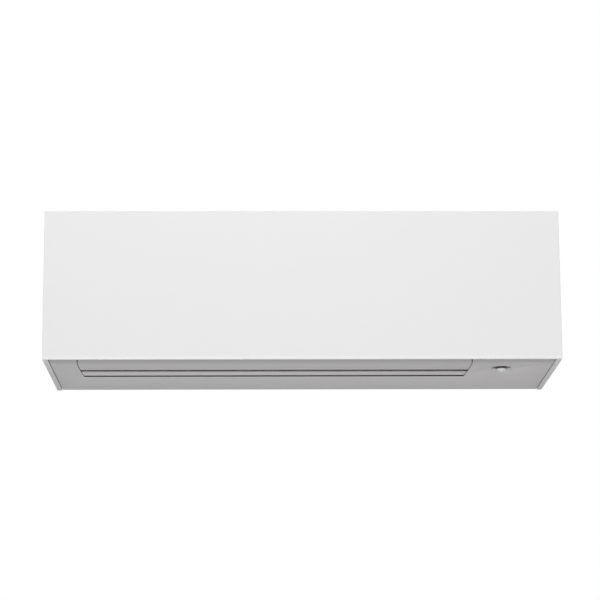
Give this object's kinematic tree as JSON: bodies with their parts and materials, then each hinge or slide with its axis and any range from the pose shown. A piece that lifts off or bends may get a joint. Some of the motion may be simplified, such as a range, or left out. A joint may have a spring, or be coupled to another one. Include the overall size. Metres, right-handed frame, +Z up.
{
  "type": "wall mounted air conditioner indoor unit",
  "caption": "Wall-mounted split air conditioner indoor unit with a flat hinged front panel, outlet flaps underneath, filters, coil and crossflow fan.",
  "frame": {"origin": "middle of the wall mounting plate, on its back face, which lies on the wall", "axes": "+X to the right of someone who faces the unit, +Y into the wall, +Z up"},
  "size_m": [0.99, 0.255, 0.3049],
  "materials": {
    "zinc_plate": "zinc coated steel sheet, satin",
    "chassis": "light grey moulded plastic",
    "casing": "fine matt white moulded plastic",
    "grille": "fine matt white moulded plastic",
    "cover": "fine matt light grey moulded plastic",
    "panel": "smooth satin white plastic",
    "filter": "dark plastic frame with woven net",
    "flap": "fine matt light grey moulded plastic",
    "flap_narrow": "fine matt light grey moulded plastic",
    "small_motor": "zinc coated can",
    "blades": "dark moulded plastic",
    "fan": "dark moulded plastic",
    "rubber": "black rubber",
    "motor": "zinc coated can",
    "pan": "light grey moulded plastic",
    "fins": "packed thin fins",
    "end_plates": "galvanised sheet with copper bends",
    "copper": "drawn copper pipe",
    "brass": "machined brass",
    "inner_plastic": "grey flame retardant plastic",
    "board": "green circuit board",
    "terminal": "black plastic",
    "sensor_dish": "light grey plastic",
    "lens": "milky glossy plastic",
    "lamp": "milky glossy plastic",
    "button": "light grey plastic"
  },
  "bodies": {
    "unit": {"mounting_plate": "zinc_plate", "rear_casing": "chassis", "front_casing": "casing", "top_grille": "grille", "underside_cover": "cover", "air_filter_left": "filter", "main_flap_motor": "small_motor", "fan_bearing": "rubber", "fan_motor": "motor", "drain_pan": "pan", "coil_front_lower": "fins", "coil_plate_left": "end_plates", "gas_pipe": "copper", "gas_nut": "brass", "electrical_box": "inner_plastic", "control_board": "board", "terminal_block": "terminal", "sensor_housing": "sensor_dish", "sensor_lens": "lens", "lamp_window": "lamp", "air_filter_right": "filter", "second_flap_motor": "small_motor", "motor_bracket": "inner_plastic", "drain_plug": "rubber", "coil_front_upper": "fins", "coil_rear": "fins", "coil_plate_right": "end_plates", "liquid_pipe": "copper", "liquid_nut": "brass", "electrical_cover": "inner_plastic", "cord_clamp": "inner_plastic", "room_thermistor": "terminal", "pipe_thermistor": "copper"},
    "panel": {"front_panel": "panel"},
    "main_flap_body": {"main_flap": "flap"},
    "second_flap_body": {"second_flap": "flap_narrow"},
    "fan_body": {"crossflow_fan": "fan"},
    "button_body": {"switch_button": "button"},
    "blade_left_1_body": {"blade_left_1": "blades"},
    "blade_left_2_body": {"blade_left_2": "blades"},
    "blade_left_3_body": {"blade_left_3": "blades"},
    "blade_left_4_body": {"blade_left_4": "blades"},
    "blade_left_5_body": {"blade_left_5": "blades"},
    "blade_left_6_body": {"blade_left_6": "blades"},
    "blade_right_1_body": {"blade_right_1": "blades"},
    "blade_right_2_body": {"blade_right_2": "blades"},
    "blade_right_3_body": {"blade_right_3": "blades"},
    "blade_right_4_body": {"blade_right_4": "blades"},
    "blade_right_5_body": {"blade_right_5": "blades"},
    "blade_right_6_body": {"blade_right_6": "blades"},
    "rod_left_body": {"link_rod_left": "blades"},
    "rod_right_body": {"link_rod_right": "blades"}
  },
  "joints": [
    {"name": "panel_hinge", "type": "hinge", "parent": "unit", "child": "panel", "pos_m": [0, -0.245, 0.1465], "axis": [-1, 0, 0], "range_deg": [0, 60]},
    {"name": "main_flap_hinge", "type": "hinge", "parent": "unit", "child": "main_flap_body", "pos_m": [0, -0.171, -0.13594], "axis": [1, 0, 0], "range_deg": [0, 75]},
    {"name": "second_flap_hinge", "type": "hinge", "parent": "unit", "child": "second_flap_body", "pos_m": [0, -0.127, -0.13853], "axis": [1, 0, 0], "range_deg": [0, 50]},
    {"name": "fan_spin", "type": "hinge", "parent": "unit", "child": "fan_body", "pos_m": [0, -0.1, -0.028], "axis": [1, 0, 0], "continuous": true},
    {"name": "button_press", "type": "slide", "parent": "unit", "child": "button_body", "axis": [0, 1, 0], "range_m": [0, 0.0015], "stiffness_N_per_m": 500, "springref_m": -0.001},
    {"name": "blade_left_1_turn", "type": "hinge", "parent": "unit", "child": "blade_left_1_body", "pos_m": [-0.3937, -0.18208, -0.07334], "axis": [0, 0.7153, -0.6988], "range_deg": [-30, 30]},
    {"name": "blade_left_2_turn", "type": "hinge", "parent": "unit", "child": "blade_left_2_body", "pos_m": [-0.3317, -0.18208, -0.07334], "axis": [0, 0.7153, -0.6988], "range_deg": [-30, 30]},
    {"name": "blade_left_3_turn", "type": "hinge", "parent": "unit", "child": "blade_left_3_body", "pos_m": [-0.2697, -0.18208, -0.07334], "axis": [0, 0.7153, -0.6988], "range_deg": [-30, 30]},
    {"name": "blade_left_4_turn", "type": "hinge", "parent": "unit", "child": "blade_left_4_body", "pos_m": [-0.2077, -0.18208, -0.07334], "axis": [0, 0.7153, -0.6988], "range_deg": [-30, 30]},
    {"name": "blade_left_5_turn", "type": "hinge", "parent": "unit", "child": "blade_left_5_body", "pos_m": [-0.1457, -0.18208, -0.07334], "axis": [0, 0.7153, -0.6988], "range_deg": [-30, 30]},
    {"name": "blade_left_6_turn", "type": "hinge", "parent": "unit", "child": "blade_left_6_body", "pos_m": [-0.0837, -0.18208, -0.07334], "axis": [0, 0.7153, -0.6988], "range_deg": [-30, 30]},
    {"name": "rod_left_turn", "type": "hinge", "parent": "blade_left_3_body", "child": "rod_left_body", "pos_m": [-0.2697, -0.15555, -0.0748], "axis": [0, 0.7153, -0.6988], "range_deg": [-30, 30]},
    {"name": "blade_right_1_turn", "type": "hinge", "parent": "unit", "child": "blade_right_1_body", "pos_m": [-0.0217, -0.18208, -0.07334], "axis": [0, 0.7153, -0.6988], "range_deg": [-30, 30]},
    {"name": "blade_right_2_turn", "type": "hinge", "parent": "unit", "child": "blade_right_2_body", "pos_m": [0.0403, -0.18208, -0.07334], "axis": [0, 0.7153, -0.6988], "range_deg": [-30, 30]},
    {"name": "blade_right_3_turn", "type": "hinge", "parent": "unit", "child": "blade_right_3_body", "pos_m": [0.1023, -0.18208, -0.07334], "axis": [0, 0.7153, -0.6988], "range_deg": [-30, 30]},
    {"name": "blade_right_4_turn", "type": "hinge", "parent": "unit", "child": "blade_right_4_body", "pos_m": [0.1643, -0.18208, -0.07334], "axis": [0, 0.7153, -0.6988], "range_deg": [-30, 30]},
    {"name": "blade_right_5_turn", "type": "hinge", "parent": "unit", "child": "blade_right_5_body", "pos_m": [0.2263, -0.18208, -0.07334], "axis": [0, 0.7153, -0.6988], "range_deg": [-30, 30]},
    {"name": "blade_right_6_turn", "type": "hinge", "parent": "unit", "child": "blade_right_6_body", "pos_m": [0.2883, -0.18208, -0.07334], "axis": [0, 0.7153, -0.6988], "range_deg": [-30, 30]},
    {"name": "rod_right_turn", "type": "hinge", "parent": "blade_right_3_body", "child": "rod_right_body", "pos_m": [0.1023, -0.15555, -0.0748], "axis": [0, 0.7153, -0.6988], "range_deg": [-30, 30]}
  ],
  "couplings": [
    {"joint": "blade_left_1_turn", "follows": "blade_left_3_turn", "ratio": 1},
    {"joint": "blade_left_2_turn", "follows": "blade_left_3_turn", "ratio": 1},
    {"joint": "blade_left_4_turn", "follows": "blade_left_3_turn", "ratio": 1},
    {"joint": "blade_left_5_turn", "follows": "blade_left_3_turn", "ratio": 1},
    {"joint": "blade_left_6_turn", "follows": "blade_left_3_turn", "ratio": 1},
    {"joint": "rod_left_turn", "follows": "blade_left_3_turn", "ratio": -1},
    {"joint": "blade_right_1_turn", "follows": "blade_right_3_turn", "ratio": 1},
    {"joint": "blade_right_2_turn", "follows": "blade_right_3_turn", "ratio": 1},
    {"joint": "blade_right_4_turn", "follows": "blade_right_3_turn", "ratio": 1},
    {"joint": "blade_right_5_turn", "follows": "blade_right_3_turn", "ratio": 1},
    {"joint": "blade_right_6_turn", "follows": "blade_right_3_turn", "ratio": 1},
    {"joint": "rod_right_turn", "follows": "blade_right_3_turn", "ratio": -1}
  ]
}
